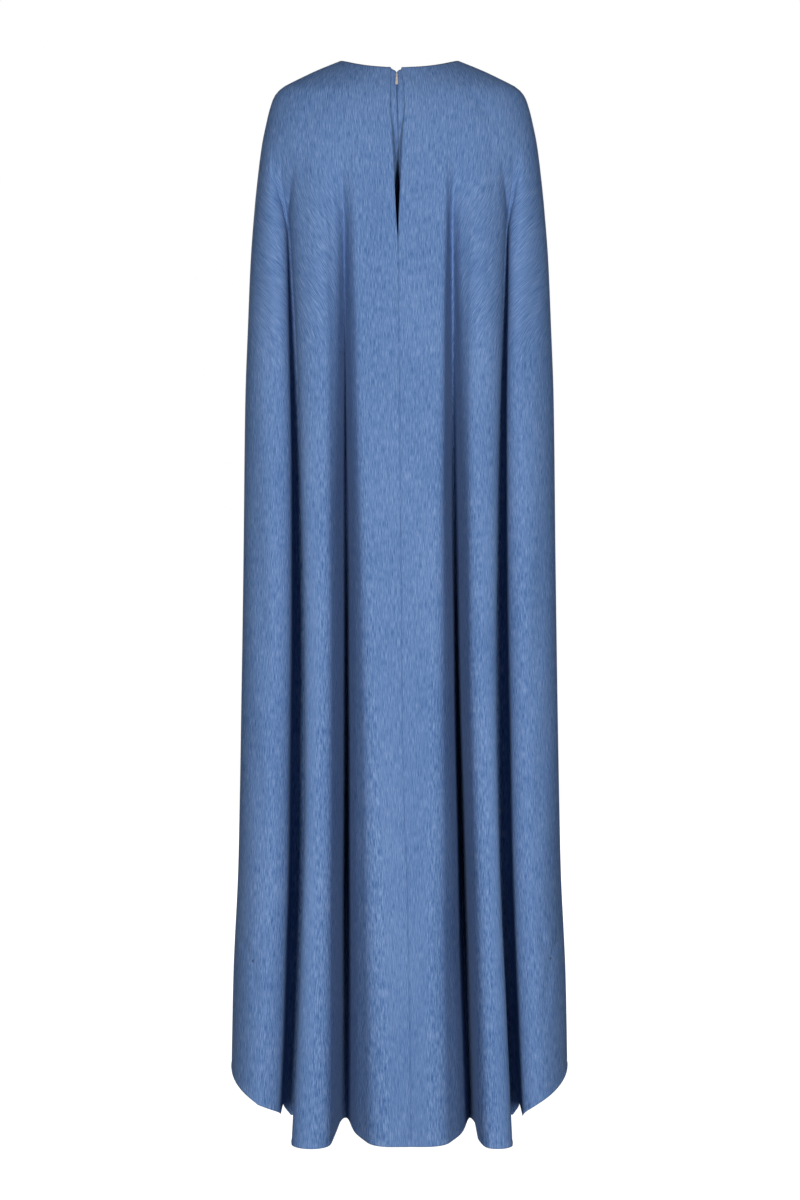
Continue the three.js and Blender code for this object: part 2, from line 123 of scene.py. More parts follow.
frontFolds = [
    foldRow(True, (0.046, 0.042, 0.038), (0.002, 0.001, 0),
            (0.01, 0.01, 0.01), (0.012, 0.017, 0.02)),
    foldRow(False, (0.084, 0.086, 0.088), (0.007, 0.03, 0.056),
            (0.008, 0.011, 0.014), (0.008, 0.011, 0.014)),
    foldRow(True, (0.114, 0.122, 0.128), (0.014, 0.004, -0.004),
            (0.013, 0.018, 0.022), (0.03, 0.018, 0.022)),
    foldRow(False, (0.158, 0.15, 0.161), (0.044, 0.084, 0.11),
            (0.004, 0.009, 0.011), (0.004, 0.009, 0.011)),
    foldRow(True, (0.186, 0.182, 0.198), (0.046, 0.062, 0.072),
            (0.013, 0.02, 0.024), (0.01, 0.01, 0.01), 0.042),
]


# Smooth line through one column of a table, as in the solids
def along(table, key, down):
    last = len(table) - 1
    if down <= table[0]["down"]:
        return table[0][key]
    if down >= table[last]["down"]:
        return table[last][key]
    i = next(k for k, row in enumerate(table) if row["down"] > down) - 1

    def slope(k):
        a = table[max(k - 1, 0)]
        b = table[min(k + 1, last)]
        return (b[key] - a[key]) / (b["down"] - a["down"])

    gap = table[i + 1]["down"] - table[i]["down"]
    t = (down - table[i]["down"]) / gap
    start = table[i][key] * (2 * t ** 3 - 3 * t ** 2 + 1) + slope(i) * gap * (t ** 3 - 2 * t ** 2 + t)
    end = table[i + 1][key] * (3 * t ** 2 - 2 * t ** 3) + slope(i + 1) * gap * (t ** 3 - t ** 2)
    return start + end


def smooth(value, low, high):
    t = min(max((value - low) / (high - low), 0), 1)
    return t * t * (3 - 2 * t)


def mix(a, b, t):
    return a + (b - a) * t


def foldValue(values, down):
    middle = gown["foldMiddle"]
    t = max((down - gown["foldStart"]) / (gown["length"] - gown["foldStart"]), 0)
    top = values[0] * (t - middle) * (t - 1) / middle
    mid = values[1] * t * (1 - t) / (middle * (1 - middle))
    hem = values[2] * t * (t - middle) / (1 - middle)
    return top + mid + hem


# Finer steps than the solids have, on the middle panel, round crests and troughs, on slopes, round the side
steps = {"bend": 9, "slope": 8, "side": 24}
middleShares = [0, 0.016, 0.036, 0.06, 0.12] + [0.2 + 0.1 * i for i in range(8)]


# One half of a folded section as rows of (u, v, rise, middleShare). No bend is wider than its room.
def foldedHalf(folds, down, middleEdge, halfWidth, depth):
    stops = []
    for fold in folds:
        stops.append({
            "out": foldValue(fold["out"], down),
            "into": foldValue(fold["in"], down),
            "turn": 1 if fold["crest"] else -1,
            "before": max(foldValue(fold["before"], down), gown["tightestBend"]),
            "after": max(foldValue(fold["after"], down), gown["tightestBend"]),
            "rise": fold["rise"],
        })
    for stop, following in zip(stops, stops[1:]):
        reach = following["out"] - stop["out"]
        if stop["turn"] > 0:
            stop["after"] = min(stop["after"], reach - following["before"])
        else:
            following["before"] = min(following["before"], reach - stop["after"])
    points = []
    bow = gown["panelBow"] * (gown["length"] - down) / (gown["length"] - gown["foldStart"])
    for t in middleShares:
        u = mix(middleEdge, stops[0]["out"], t)
        points.append((u, stops[0]["into"] - bow * (1 - smooth(t, 0, 1)), stops[0]["rise"], t))
    arriving = 0
    for i, stop in enumerate(stops):
        leaving = 0
        if i + 1 < len(stops):
            reach = stops[i + 1]["out"] - stop["out"]
            radii = stop["after"] + stops[i + 1]["before"]
            past = abs(stops[i + 1]["into"] - stop["into"]) - radii
            leaving = math.atan2(past, reach) + math.asin(min(radii / math.hypot(reach, past), 1))
        bendPoints = []
        first = -steps["bend"] if i else 0
        last = steps["bend"] if i + 1 < len(stops) else 0
        for k in range(first, last + 1):
            t = abs(k) / steps["bend"]
            angle = t * leaving if k > 0 else -t * arriving
            radius = stop["after"] if k > 0 else stop["before"]
            beside = stops[max(i - 1, 0)] if k < 0 else stops[min(i + 1, len(stops) - 1)]
            rise = mix(stop["rise"], beside["rise"], t / 2)
            u = stop["out"] + radius * math.sin(angle)
            v = stop["into"] + stop["turn"] * radius * (1 - math.cos(angle))
            bendPoints.append((u, v, rise, None))
        if i:
            start = points[-1]
            end = bendPoints[0]
            for k in range(1, steps["slope"]):
                t = k / steps["slope"]
                points.append(tuple(mix(start[i], end[i], t) for i in range(3)) + (None,))
        points.extend(bendPoints)
        arriving = leaving
    start = points[-1]
    power = 2 / gown["wingRoundness"]
    for k in range(1, steps["side"] + 1):
        angle = math.pi / 2 * k / steps["side"]
        u = mix(start[0], halfWidth, math.sin(angle) ** power)
        v = mix(start[1], depth, 1 - abs(math.cos(angle)) ** power)
        if k == steps["side"]:
            v = depth
        points.append((u, v, mix(start[2], gown["hemRiseAtSeam"], k / steps["side"]), None))
    return points


# Pinch in the bottom of each inner trough: how deep and how wide it is, by the distance down
leftPinch = [
    {"down": 0.15, "deep": 0, "wide": 0.008},
    {"down": 0.24, "deep": 0.009, "wide": 0.0066},
    {"down": 0.40, "deep": 0.031, "wide": 0.0066},
    {"down": 0.60, "deep": 0.056, "wide": 0.0078},
    {"down": 0.85, "deep": 0.070, "wide": 0.0085},
    {"down": 1.20, "deep": 0.086, "wide": 0.0095},
    {"down": 1.60, "deep": 0.062, "wide": 0.0100},
]
rightPinch = [
    {"down": 0.15, "deep": 0, "wide": 0.008},
    {"down": 0.24, "deep": 0.009, "wide": 0.0066},
    {"down": 0.40, "deep": 0.031, "wide": 0.0066},
    {"down": 0.60, "deep": 0.056, "wide": 0.0078},
    {"down": 0.85, "deep": 0.072, "wide": 0.0086},
    {"down": 1.20, "deep": 0.088, "wide": 0.0096},
    {"down": 1.60, "deep": 0.064, "wide": 0.0102},
]
frontPinch = [
    {"down": 0.16, "deep": 0, "wide": 0.004},
    {"down": 0.45, "deep": 0.010, "wide": 0.004},
    {"down": 0.95, "deep": 0.018, "wide": 0.005},
    {"down": 1.60, "deep": 0.006, "wide": 0.005},
]


def roundShoulder(share, depth):
    power = gown["shoulderRoundness"]
    return depth * (1 - (1 - min(abs(share), 1) ** power) ** (1 / power))


def halfSection(half, down):
    halfWidth = along(outline, "halfWidth", down)
    depth = along(outline, half["face"], down)
    middleEdge = half["middleEdge"](down)
    start = gown["foldStart"]
    folded = foldedHalf(half["folds"], max(down, start), middleEdge, halfWidth, depth)
    startWidth = along(outline, "halfWidth", start)
    atStart = half["atStart"]
    edgeShare = atStart[len(middleShares)][0] / startWidth
    blend = smooth(down, gown["foldBlendStart"], gown["foldsFull"])
    riseNow = smooth(down, gown["hemRiseStart"], gown["length"])
    neckNow = 1 - smooth(down, 0, gown["neckFade"])
    pinchAt = foldValue(half["folds"][1]["out"], max(down, start))
    pinchDeep = along(half["pinch"], "deep", down)
    pinchWide = along(half["pinch"], "wide", down)
    section = []
    for i, (u, v, rise, middleShare) in enumerate(folded):
        v += pinchDeep * math.exp(-((u - pinchAt) / pinchWide) ** 2)
        share = atStart[i][0] / startWidth
        if middleShare is not None:
            share = mix(middleEdge, edgeShare * halfWidth, middleShare) / halfWidth
        dip = half["neckDrop"] * (1 - min(abs(share), 1) ** gown["neckCurve"]) * neckNow
        here = down + dip - rise * riseNow
        upperDepth = along(outline, half["face"], here)
        inward = mix(roundShoulder(share, upperDepth) - upperDepth, v - depth, blend)
        section.append((mix(share * halfWidth, u, blend), inward, here))
    return section


def makeHalf(face, folds, pinch, neckDrop, middleEdge):
    half = {"face": face, "folds": folds, "pinch": pinch, "neckDrop": neckDrop, "middleEdge": middleEdge}
    start = gown["foldStart"]
    startWidth = along(outline, "halfWidth", start)
    half["atStart"] = foldedHalf(folds, start, middleEdge(start), startWidth, along(outline, face, start))
    return half


def centreBack(down, edge):
    if down < gown["slitEnd"]:
        return along(slitEdges, edge, down)
    return along(centreSeam, "across", down)


# Sections lie close together round the shoulders, at the creases and in the hem's roll
neckHeights = [0, 0.002, 0.004, 0.007, 0.011, 0.016]
hemHeights = [1.584, 1.589, 1.592, 1.5942, 1.5962, 1.5984, 1.6]
heightBands = [
    {"start": 0.021, "end": 0.13, "count": 18},
    {"start": 0.137, "end": 0.35, "count": 26},
    {"start": 0.365, "end": 1.27, "count": 56},
    {"start": 1.28, "end": 1.42, "count": 18},
    {"start": 1.434, "end": 1.578, "count": 10},
]


def sectionHeights():
    heights = list(neckHeights)
    for band in heightBands:
        last = band["count"] - 1
        heights += [mix(band["start"], band["end"], i / last) for i in range(band["count"])]
    return heights + hemHeights


# Soft creases. at and to are (across, down) where each starts and ends; a negative depth is a ridge.
def crease(at, to, width, depth, bow=0):
    return {"at": at, "to": to, "width": width, "depth": depth, "bow": bow}


backCreases = [
    crease((-0.142, 0.128), (-0.139, 0.300), 0.0036, 0.0019),
    crease((0.136, 0.130), (0.138, 0.285), 0.0036, 0.0018),
    crease((-0.118, 0.150), (-0.121, 0.420), 0.009, -0.0016),
    crease((0.112, 0.155), (0.120, 0.440), 0.009, -0.0016),
    crease((0.008, 0.026), (0.034, 0.062), 0.0055, 0.0016, 0.002),
    crease((-0.020, 0.028), (-0.042, 0.070), 0.006, 0.0013, -0.002),
    crease((0.012, 0.060), (0.028, 0.140), 0.007, 0.0012, 0.002),
    crease((-0.100, 0.052), (-0.150, 0.120), 0.009, 0.0014, 0.004),
    crease((0.096, 0.050), (0.150, 0.118), 0.009, 0.0014, -0.004),
    crease((-0.010, 0.300), (-0.022, 0.560), 0.012, 0.0013, 0.003),
    crease((0.016, 0.340), (0.030, 0.640), 0.013, 0.0012, -0.003),
    crease((-0.022, 0.700), (-0.010, 1.080), 0.014, 0.0014, 0.004),
    crease((0.034, 0.820), (0.026, 1.230), 0.015, 0.0015, -0.004),
    crease((-0.206, 0.330), (-0.186, 0.640), 0.010, 0.0018, 0.005),
    crease((0.204, 0.300), (0.187, 0.600), 0.010, 0.0018, -0.005),
    crease((-0.214, 0.620), (-0.190, 1.010), 0.012, 0.0021, -0.004),
    crease((0.213, 0.660), (0.192, 1.060), 0.012, 0.0021, 0.004),
    crease((-0.220, 0.980), (-0.196, 1.300), 0.011, 0.0019, 0.004),
    crease((0.221, 0.940), (0.198, 1.270), 0.011, 0.0019, -0.004),
    crease((-0.126, 0.560), (-0.117, 0.900), 0.010, 0.0012, 0.002),
    crease((0.127, 0.500), (0.121, 0.860), 0.010, 0.0012, -0.002),
    crease((-0.215, 1.346), (-0.196, 1.285), 0.0055, 0.0021, 0.001),
    crease((-0.215, 1.346), (-0.204, 1.440), 0.0060, 0.0019, -0.002),
    crease((-0.215, 1.346), (-0.238, 1.318), 0.0050, 0.0022),
    crease((0.222, 1.346), (0.203, 1.288), 0.0055, 0.0021, -0.001),
    crease((0.222, 1.346), (0.211, 1.442), 0.0060, 0.0019, 0.002),
    crease((0.222, 1.346), (0.243, 1.316), 0.0050, 0.0022),
]
frontCreases = [
    crease((-0.070, 0.070), (-0.110, 0.150), 0.008, 0.0014, 0.004),
    crease((0.068, 0.072), (0.112, 0.156), 0.008, 0.0014, -0.004),
    crease((-0.012, 0.330), (-0.020, 0.640), 0.013, 0.0013, 0.003),
    crease((0.020, 0.420), (0.012, 0.760), 0.013, 0.0013, -0.003),
    crease((-0.010, 0.860), (-0.024, 1.260), 0.015, 0.0015, 0.004),
    crease((-0.208, 0.340), (-0.188, 0.640), 0.010, 0.0018, 0.005),
    crease((0.206, 0.310), (0.188, 0.620), 0.010, 0.0018, -0.005),
    crease((-0.212, 0.900), (-0.194, 1.240), 0.012, 0.0020, -0.004),
    crease((0.214, 0.880), (0.195, 1.230), 0.012, 0.0020, 0.004),
]


def creaseDepth(table, across, down):
    total = np.zeros_like(across)
    for row in table:
        (x0, d0), (x1, d1) = row["at"], row["to"]
        dx, dd = x1 - x0, d1 - d0
        t = np.clip(((across - x0) * dx + (down - d0) * dd) / (dx * dx + dd * dd), 0, 1)
        side = row["bow"] * 4 * t * (1 - t)
        away = np.hypot(across - x0 - dx * t - side, down - d0 - dd * t)
        fade = np.sin(math.pi * np.clip(t, 0.02, 0.98)) ** 0.7
        total += row["depth"] * fade * np.exp(-(away / row["width"]) ** 2)
    return total


# Low, wide waves that keep the cloth from lying like sheet metal
slack = {"start": 0.1, "fade": 0.4, "long": 0.0011, "short": 0.0005}


def slackWaves(across, down, phase):
    reach = np.clip((down - slack["start"]) / slack["fade"], 0, 1)
    long = np.sin(across * 46 + 1.7 * np.sin(down * 3.1 + phase) + phase) * np.sin(down * 4.3 + phase * 1.3)
    short = np.sin(across * 83 - 9 * down + phase * 2.1) * np.sin(down * 11 + across * 17 + phase)
    return reach * (slack["long"] * long + slack["short"] * short)


def rowArcs(points):
    gaps = np.linalg.norm(np.diff(points, axis=1), axis=2)
    return np.concatenate([np.zeros((len(points), 1)), np.cumsum(gaps, axis=1)], axis=1)


def columnArcs(points):
    gaps = np.linalg.norm(np.diff(points, axis=0), axis=2)
    return np.concatenate([np.zeros((1, points.shape[1])), np.cumsum(gaps, axis=0)], axis=0)


def outwardNormals(points):
    acrossWay = np.gradient(points, axis=1)
    downWay = np.gradient(points, axis=0)
    normals = np.cross(downWay, acrossWay)
    return normals / np.linalg.norm(normals, axis=2, keepdims=True)


# Relief beside the seams and above the hem: how high each is, how far from the edge, and how wide
relief = {
    "seamGroove": {"high": 0.0016, "at": 0, "wide": 0.0012},
    "seamDent": {"high": 0.0003, "at": 0.006, "wide": 0.003},
    "hemRoll": {"high": 0.0006, "at": 0.0035, "wide": 0.0028},
    "hemDent": {"high": 0.0005, "at": 0.0085, "wide": 0.0018},
    "calmBeside": 0.02,
}


def reliefAt(row, away):
    return row["high"] * np.exp(-((away - row["at"]) / row["wide"]) ** 2)


# A cloth panel from a grid of middle points: creased, rolled at its hem, edges turned in at its seams
def clothPanel(name, points, creases, phase, seams, middleColumn, material, hemmed=True):
    normals = outwardNormals(points)
    across, down = points[:, :, 0], -points[:, :, 2]
    inward = creaseDepth(creases, across, down)
    if hemmed:
        inward = inward + slackWaves(across, down, phase) * seamCalm(points, seams)
    arcs = rowArcs(points)
    for column in seams:
        away = np.abs(arcs - arcs[:, column:column + 1])
        inward = inward + reliefAt(relief["seamGroove"], away) + reliefAt(relief["seamDent"], away)
    fromHem = columnArcs(points[::-1])[::-1]
    if hemmed:
        inward = inward - reliefAt(relief["hemRoll"], fromHem) + reliefAt(relief["hemDent"], fromHem)
    points = points - normals * inward[:, :, None]
    grain = alongFolds(arcs, down) if hemmed else arcs
    weave = np.stack([grain - grain[:, middleColumn:middleColumn + 1], -columnArcs(points) - 0.02], axis=2)
    return gridMesh(name, points, weave, material)


# Below the shoulders the grain of the cloth runs down along the folds
grainTurn = {"start": 0.3, "end": 0.5}


def alongFolds(arcs, down):
    level = down[:, down.shape[1] // 2]
    middleRow = int(np.argmin(np.abs(level - grainTurn["end"])))
    t = np.clip((down - grainTurn["start"]) / (grainTurn["end"] - grainTurn["start"]), 0, 1)
    return arcs + (arcs[middleRow:middleRow + 1] - arcs) * t * t * (3 - 2 * t)


# 0 at the seams and 1 away from them, so that two panels still meet along their seam
def seamCalm(points, seams):
    arcs = rowArcs(points)
    calm = np.ones(arcs.shape)
    for column in seams:
        away = np.abs(arcs - arcs[:, column:column + 1])
        calm = calm * (1 - np.exp(-(away / relief["calmBeside"]) ** 2))
    return calm


def gridMesh(name, points, weave, material, thickness=None):
    rows, columns = points.shape[:2]
    mesh = bpy.data.meshes.new(name)
    faces = []
    for r in range(rows - 1):
        for c in range(columns - 1):
            a = r * columns + c
            faces.append((a, a + columns, a + columns + 1, a + 1))
    mesh.from_pydata(points.reshape(-1, 3).tolist(), [], faces)
    layer = mesh.uv_layers.new(name="weave")
    flat = weave.reshape(-1, 2)
    corners = np.array(faces).reshape(-1)
    layer.data.foreach_set("uv", flat[corners].reshape(-1))
    mesh.polygons.foreach_set("use_smooth", [True] * len(faces))
    mesh.materials.append(material)
    piece = bpy.data.objects.new(name, mesh)
    bpy.context.scene.collection.objects.link(piece)
    wall = piece.modifiers.new("thickness", "SOLIDIFY")
    wall.thickness = thickness or gown["thickness"]
    wall.offset = 0
    wall.use_quality_normals = True
    return piece


# Materials. Colours are linear.
clothLook = {
    "pale": (0.165, 0.250, 0.440, 1), "body": (0.094, 0.174, 0.355, 1), "deep": (0.044, 0.104, 0.255, 1),
    "streakAcross": 0.0007, "streakAlong": 0.012, "twill": 0.0011, "roughness": 0.82,
    "sheen": 0.06, "sheenRoughness": 0.42,
}
innerLook = dict(
    clothLook, pale=(0.150, 0.235, 0.420, 1), body=(0.086, 0.162, 0.335, 1), deep=(0.040, 0.096, 0.240, 1),
)
zipLook = {"silver": (0.86, 0.76, 0.73, 1), "worn": (0.70, 0.60, 0.57, 1), "roughness": 0.42}
threadLook = {"colour": (0.020, 0.034, 0.075, 1), "roughness": 0.7}
toothLook = {"colour": (0.060, 0.098, 0.190, 1), "roughness": 0.45}
# The floor's paleness is mostly painted light: a glow that the camera alone sees, weaker near the gown
floorLook = {"colour": (0.28, 0.28, 0.28, 1), "paler": (0.30, 0.30, 0.30, 1), "roughness": 0.9,
             "near": 0.72, "far": 1.0, "glowFrom": 0.3, "glowTo": 1.5}


def newMaterial(name):
    material = bpy.data.materials.new(name)
    material.use_nodes = True
    nodes = material.node_tree.nodes
    return material, nodes, material.node_tree.links, nodes["Principled BSDF"]


def scaledNoise(nodes, links, vector, scale, detail, roughness=0.55):
    mapping = nodes.new("ShaderNodeMapping")
    mapping.inputs["Scale"].default_value = scale
    links.new(vector, mapping.inputs["Vector"])
    noise = nodes.new("ShaderNodeTexNoise")
    noise.inputs["Scale"].default_value = 1
    noise.inputs["Detail"].default_value = detail
    noise.inputs["Roughness"].default_value = roughness
    links.new(mapping.outputs["Vector"], noise.inputs["Vector"])
    return noise.outputs["Fac"]


def mathNode(nodes, links, operation, first, second):
    node = nodes.new("ShaderNodeMath")
    node.operation = operation
    for i, value in enumerate((first, second)):
        if isinstance(value, (int, float)):
            node.inputs[i].default_value = value
        else:
            links.new(value, node.inputs[i])
    return node.outputs[0]


def colourRamp(nodes, links, factor, stops):
    ramp = nodes.new("ShaderNodeValToRGB")
    elements = ramp.color_ramp.elements
    while len(elements) < len(stops):
        elements.new(0.5)
    for element, (place, colour) in zip(elements, stops):
        element.position = place
        element.color = colour
    links.new(factor, ramp.inputs["Fac"])
    return ramp.outputs["Color"]


def clothMaterial(name, look):
    material, nodes, links, shader = newMaterial(name)
    weave = nodes.new("ShaderNodeUVMap")
    weave.uv_map = "weave"
    uv = weave.outputs["UV"]
    across, lengthwise = 1 / look["streakAcross"], 1 / look["streakAlong"]
    streaks = scaledNoise(nodes, links, uv, (across, lengthwise, 1), 3)
    slubs = scaledNoise(nodes, links, uv, (across * 0.42, lengthwise * 0.35, 1), 1)
    specks = scaledNoise(nodes, links, uv, (across * 2.1, lengthwise * 9, 1), 2)
    clouds = scaledNoise(nodes, links, uv, (9, 5, 1), 2)
    cloudShift = mathNode(nodes, links, "SUBTRACT", clouds, 0.5)
    heather = mathNode(nodes, links, "MULTIPLY", streaks, 0.62)
    for layer, share in ((slubs, 0.22), (specks, 0.16), (cloudShift, 0.1)):
        heather = mathNode(nodes, links, "ADD", heather, mathNode(nodes, links, "MULTIPLY", layer, share))
    stops = [(0.39, look["deep"]), (0.5, look["body"]), (0.61, look["pale"])]
    colour = colourRamp(nodes, links, heather, stops)
    links.new(colour, shader.inputs["Base Color"])
    rough = nodes.new("ShaderNodeMapRange")
    rough.inputs["To Min"].default_value = look["roughness"] - 0.07
    rough.inputs["To Max"].default_value = look["roughness"] + 0.1
    links.new(heather, rough.inputs["Value"])
    links.new(rough.outputs["Result"], shader.inputs["Roughness"])
    diagonal = nodes.new("ShaderNodeMapping")
    diagonal.inputs["Rotation"].default_value = (0, 0, math.radians(27))
    links.new(uv, diagonal.inputs["Vector"])
    twill = nodes.new("ShaderNodeTexWave")
    twill.bands_direction = "X"
    twill.inputs["Scale"].default_value = 1 / look["twill"] / 3.18
    twill.inputs["Distortion"].default_value = 1.4
    twill.inputs["Detail"].default_value = 1
    twill.inputs["Detail Scale"].default_value = 2
    links.new(diagonal.outputs["Vector"], twill.inputs["Vector"])
    twillBump = nodes.new("ShaderNodeBump")
    twillBump.inputs["Strength"].default_value = 0.35
    twillBump.inputs["Distance"].default_value = 0.00016
    links.new(twill.outputs["Fac"], twillBump.inputs["Height"])
    streakBump = nodes.new("ShaderNodeBump")
    streakBump.inputs["Strength"].default_value = 0.5
    streakBump.inputs["Distance"].default_value = 0.00035
    links.new(heather, streakBump.inputs["Height"])
    links.new(twillBump.outputs["Normal"], streakBump.inputs["Normal"])
    links.new(streakBump.outputs["Normal"], shader.inputs["Normal"])
    shader.inputs["Sheen Weight"].default_value = look["sheen"]
    shader.inputs["Sheen Roughness"].default_value = look["sheenRoughness"]
    shader.inputs["Sheen Tint"].default_value = (0.5, 0.66, 1.0, 1)
    shader.inputs["Specular IOR Level"].default_value = 0.14
    return material


def zipMetal():
    material, nodes, links, shader = newMaterial("zip silver")
    place = nodes.new("ShaderNodeTexCoord").outputs["Object"]
    wear = scaledNoise(nodes, links, place, (260, 260, 180), 3)
    links.new(colourRamp(nodes, links, wear, [(0.35, zipLook["worn"]), (0.6, zipLook["silver"])]),
              shader.inputs["Base Color"])
    fine = scaledNoise(nodes, links, place, (4200, 4200, 700), 2)
    rough = nodes.new("ShaderNodeMapRange")
    rough.inputs["To Min"].default_value = zipLook["roughness"] - 0.1
    rough.inputs["To Max"].default_value = zipLook["roughness"] + 0.16
    links.new(wear, rough.inputs["Value"])
    links.new(rough.outputs["Result"], shader.inputs["Roughness"])
    bump = nodes.new("ShaderNodeBump")
    bump.inputs["Strength"].default_value = 0.25
    bump.inputs["Distance"].default_value = 0.00003
    links.new(fine, bump.inputs["Height"])
    links.new(bump.outputs["Normal"], shader.inputs["Normal"])
    shader.inputs["Metallic"].default_value = 0.45
    return material


def threadMaterial(name, look, twist):
    material, nodes, links, shader = newMaterial(name)
    place = nodes.new("ShaderNodeTexCoord").outputs["Object"]
    fibres = scaledNoise(nodes, links, place, (twist, twist, twist * 0.4), 2)
    pale = tuple(min(c * 1.9 + 0.01, 1) for c in look["colour"][:3]) + (1,)
    colour = colourRamp(nodes, links, fibres, [(0.35, look["colour"]), (0.7, pale)])
    links.new(colour, shader.inputs["Base Color"])
    bump = nodes.new("ShaderNodeBump")
    bump.inputs["Strength"].default_value = 0.5
    bump.inputs["Distance"].default_value = 0.00008
    links.new(fibres, bump.inputs["Height"])
    links.new(bump.outputs["Normal"], shader.inputs["Normal"])
    shader.inputs["Roughness"].default_value = look["roughness"]
    return material


# The floor's glow shows to the camera alone, so that it doesn't light the cloth
def floorMaterial():
    material, nodes, links, shader = newMaterial("floor with painted glow")
    place = nodes.new("ShaderNodeTexCoord").outputs["Object"]
    grain = scaledNoise(nodes, links, place, (3, 3, 3), 2)
    links.new(colourRamp(nodes, links, grain, [(0.3, floorLook["colour"]), (0.7, floorLook["paler"])]),
              shader.inputs["Base Color"])
    shader.inputs["Roughness"].default_value = floorLook["roughness"]
    shader.inputs["Emission Color"].default_value = (1, 1, 1, 1)
    away = nodes.new("ShaderNodeVectorMath")
    away.operation = "LENGTH"
    links.new(place, away.inputs[0])
    glow = nodes.new("ShaderNodeMapRange")
    glow.interpolation_type = "SMOOTHSTEP"
    glow.inputs["From Min"].default_value = floorLook["glowFrom"]
    glow.inputs["From Max"].default_value = floorLook["glowTo"]
    glow.inputs["To Min"].default_value = floorLook["near"]
    glow.inputs["To Max"].default_value = floorLook["far"]
    links.new(away.outputs["Value"], glow.inputs["Value"])
    seen = nodes.new("ShaderNodeLightPath").outputs["Is Camera Ray"]
    strength = mathNode(nodes, links, "MULTIPLY", glow.outputs["Result"], seen)
    links.new(strength, shader.inputs["Emission Strength"])
    shader.inputs["Specular IOR Level"].default_value = 0.1
    return material


gownCloth = clothMaterial("gown cloth", clothLook)
innerCloth = clothMaterial("inner cloth", innerLook)
silver = zipMetal()
thread = threadMaterial("sewing thread", threadLook, 1500)
zipCoil = threadMaterial("zip coil", toothLook, 900)
print("materials made")


# Outer back halves and front
def backGrid(half, side):
    rows = []
    for down in sectionHeights():
        row = [(side * u, -gown["seamGap"] / 2 + v, -here) for u, v, here in halfSection(half, down)]
        rows.append(row[::-1] if side < 0 else row)
    return np.array(rows)


def drawnBack(section, share):
    first = len(section) - 1 - steps["side"]
    side = np.array(section[first:])
    places = np.arange(len(side))
    moved = [tuple(np.interp(place * (1 - share), places, side[:, k]) for k in range(3))
             for place in places[1:]]
    return section[:first + 1] + moved


def frontGrid(half):
    rows = []
    for down in sectionHeights():
        openness = min(max((down - gown["handTop"]) / (gown["handEnd"] - gown["handTop"]), 0), 1)
        section = drawnBack(halfSection(half, down), gown["handShare"] * math.sin(math.pi * openness))
        right = [(u, gown["seamGap"] / 2 - v, -here) for u, v, here in section]
        left = [(-x, y, z) for x, y, z in right[1:]]
        rows.append(right[::-1] + left)
    return np.array(rows)


def leftEdge(down):
    return gown["seamGap"] / 2 - centreBack(down, "left")


def rightEdge(down):
    return gown["seamGap"] / 2 + centreBack(down, "right")


def noEdge(down):
    return 0


leftBack = makeHalf("back", leftFolds, leftPinch, gown["backNeckDrop"], leftEdge)
rightBack = makeHalf("back", rightFolds, rightPinch, gown["backNeckDrop"], rightEdge)
frontSide = makeHalf("front", frontFolds, frontPinch, gown["frontNeckDrop"], noEdge)

leftPoints, rightPoints, frontPoints = backGrid(leftBack, -1), backGrid(rightBack, 1), frontGrid(frontSide)
lastLeft, lastFront = leftPoints.shape[1] - 1, frontPoints.shape[1] - 1
backSeams, frontSeams = (0, lastLeft), (0, lastFront)
backLeft = clothPanel("outer_back_left", leftPoints, backCreases, 0.4, backSeams, lastLeft, gownCloth)
backRight = clothPanel("outer_back_right", rightPoints, backCreases, 2.3, backSeams, 0, gownCloth)
frontPanel = clothPanel("outer_front", frontPoints, frontCreases, 4.1, frontSeams, lastFront // 2, gownCloth)
print("outer cloth made")

# Inner back and its zip
inner = {
    "wall": 0.0016, "vDepth": 0.006, "vHalfWidth": 0.009, "vFade": 0.04, "neckDrop": 0.024,
    "tapeWidth": 0.013, "tapeBehind": 0.0021, "tapeThickness": 0.0006, "coilBehind": 0.0033,
}
innerClearance = [
    {"down": 0, "apart": 0.0006, "halfWidth": 0.08},
    {"down": 0.04, "apart": 0.0008, "halfWidth": 0.112},
    {"down": 0.085, "apart": 0.003, "halfWidth": 0.12},
    {"down": 0.125, "apart": 0.012, "halfWidth": 0.122},
    {"down": 0.19, "apart": 0.034, "halfWidth": 0.122},
    {"down": 0.31, "apart": 0.062, "halfWidth": 0.12},
]
zipLine = [
    {"down": 0, "across": -0.0042, "opening": 0.0012},
    {"down": 0.02, "across": -0.004, "opening": 0.0012},
    {"down": 0.06, "across": -0.0034, "opening": 0.0005},
    {"down": 0.15, "across": -0.0018, "opening": 0.0004},
    {"down": 0.31, "across": -0.0016, "opening": 0.0004},
]


def upperBack(across, down, apart):
    halfWidth = along(outline, "halfWidth", down)
    share = across / halfWidth
    neckNow = 1 - smooth(down, 0, gown["neckFade"])
    here = down + inner["neckDrop"] * (1 - abs(share) ** gown["neckCurve"]) * neckNow
    depth = along(outline, "back", here)
    return Vector((across, roundShoulder(share, depth) - depth - gown["seamGap"] / 2 + apart, -here))


def innerPoint(across, down, deeper=0):
    fromZip = abs(across - along(zipLine, "across", down))
    vNow = max(0, 1 - fromZip / inner["vHalfWidth"]) * (1 - smooth(down, 0, inner["vFade"]))
    there = down + inner["vDepth"] * vNow
    step = 0.001
    acrossWay = upperBack(across + step, there, 0) - upperBack(across - step, there, 0)
    downWay = upperBack(across, there + step, 0) - upperBack(across, max(there - step, 0), 0)
    inwards = acrossWay.cross(downWay).normalized()
    behind = inner["wall"] + along(innerClearance, "apart", there) + deeper
    return upperBack(across, there, 0) + inwards * behind


